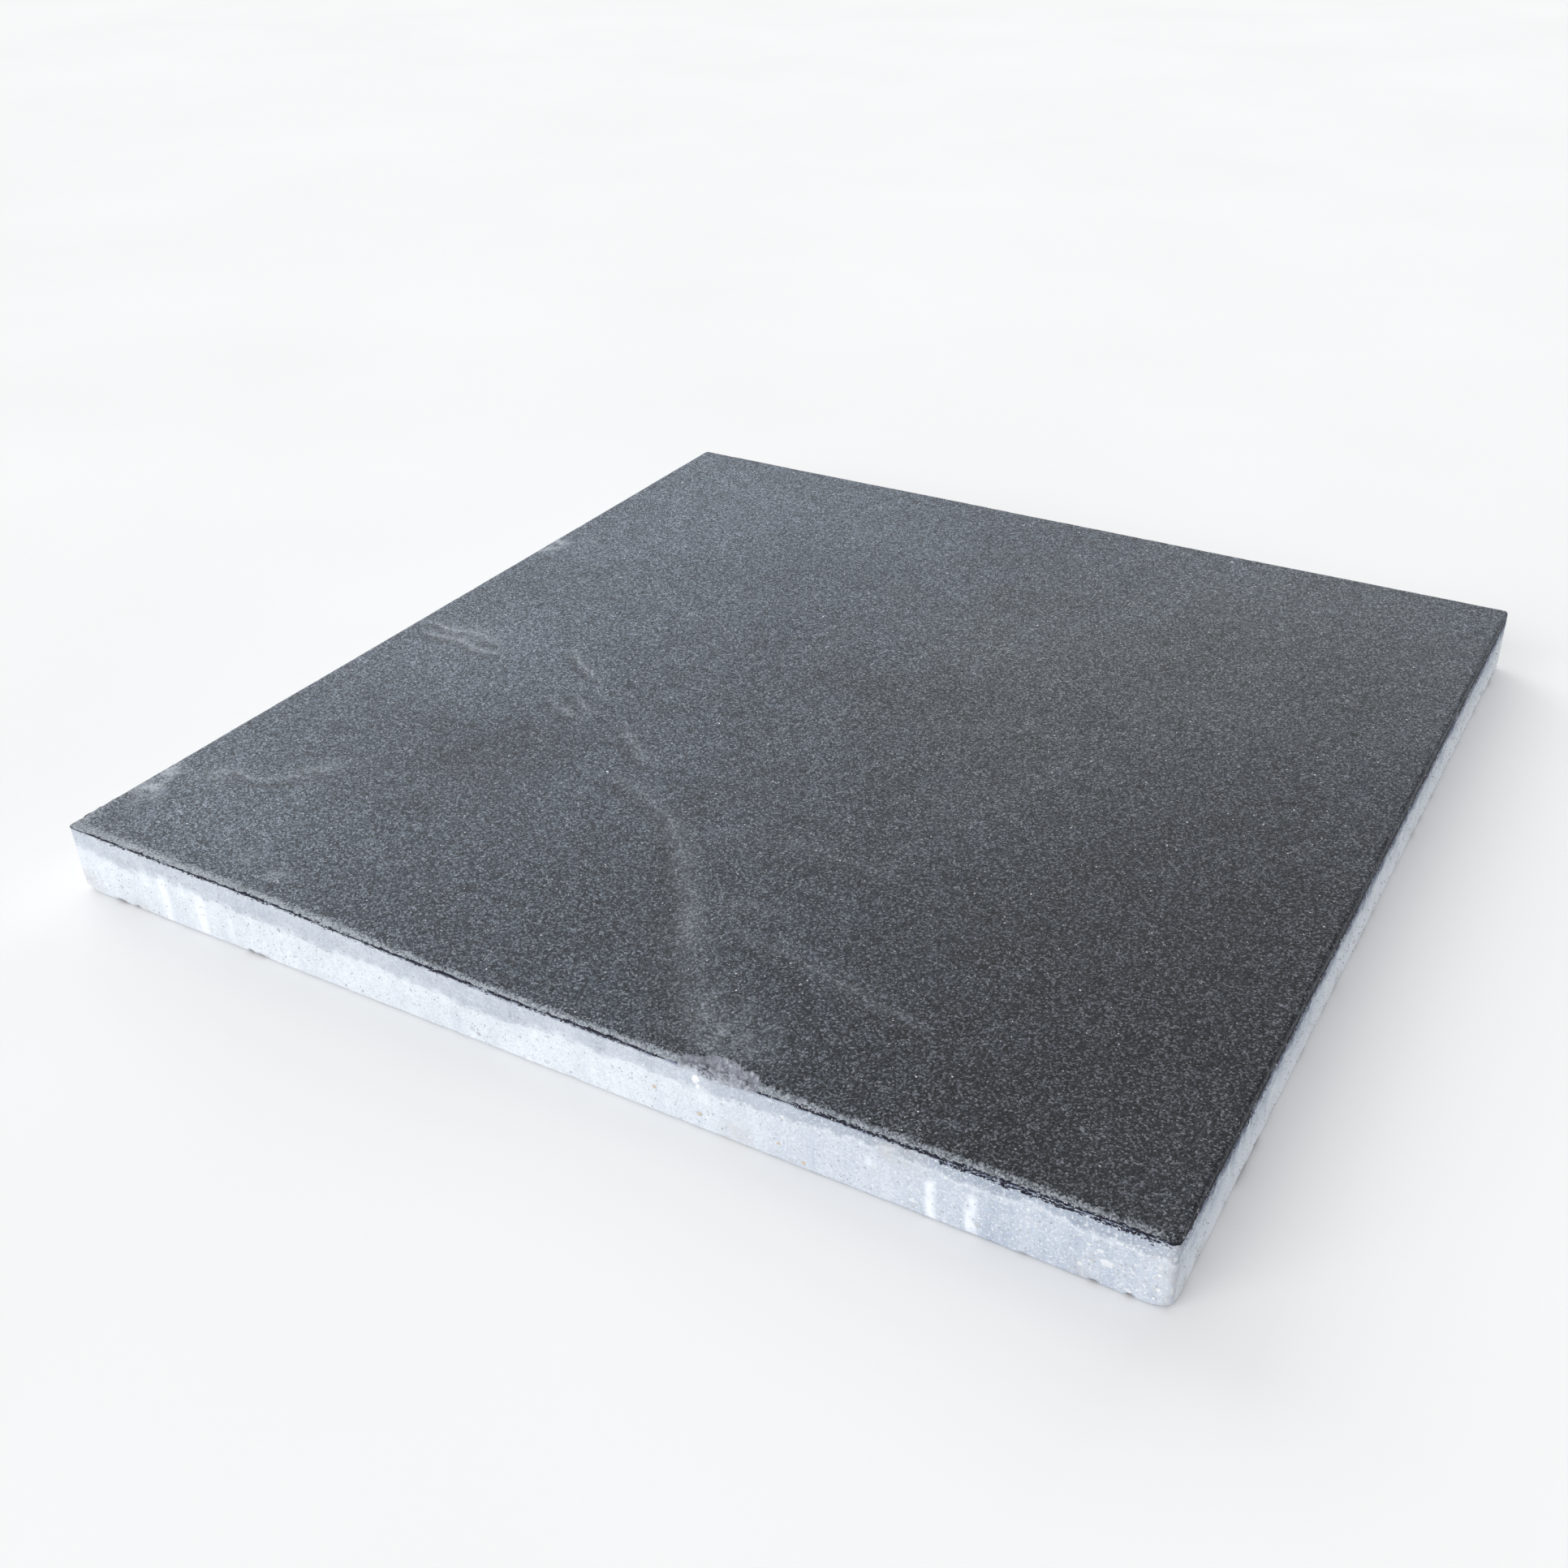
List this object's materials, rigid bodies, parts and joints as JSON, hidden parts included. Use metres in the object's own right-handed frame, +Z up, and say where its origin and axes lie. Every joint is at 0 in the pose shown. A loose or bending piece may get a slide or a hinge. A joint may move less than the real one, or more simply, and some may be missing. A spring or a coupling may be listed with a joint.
{
  "type": "granite slab",
  "caption": "Square, flat granite-look slab with a dark fine-grained working face, worn rounded edges, a thin dark seam and a pale cement-grey body, free-standing on its flat underside.",
  "frame": {"origin": "centre of the square underside, on the surface that the slab stands on", "axes": "+Z up through the thickness, +X and +Y along the two equal sides; the worn edge with the chip is at -Y"},
  "size_m": [0.6, 0.6, 0.04],
  "materials": {
    "dark_stone": "satin",
    "bond_black": "matte",
    "grey_concrete": "matte",
    "pale_concrete": "matte"
  },
  "bodies": {
    "root": {"wearing_face": "dark_stone", "bond_coat": "bond_black", "facing_course": "grey_concrete", "backing_course": "pale_concrete"}
  },
  "joints": []
}
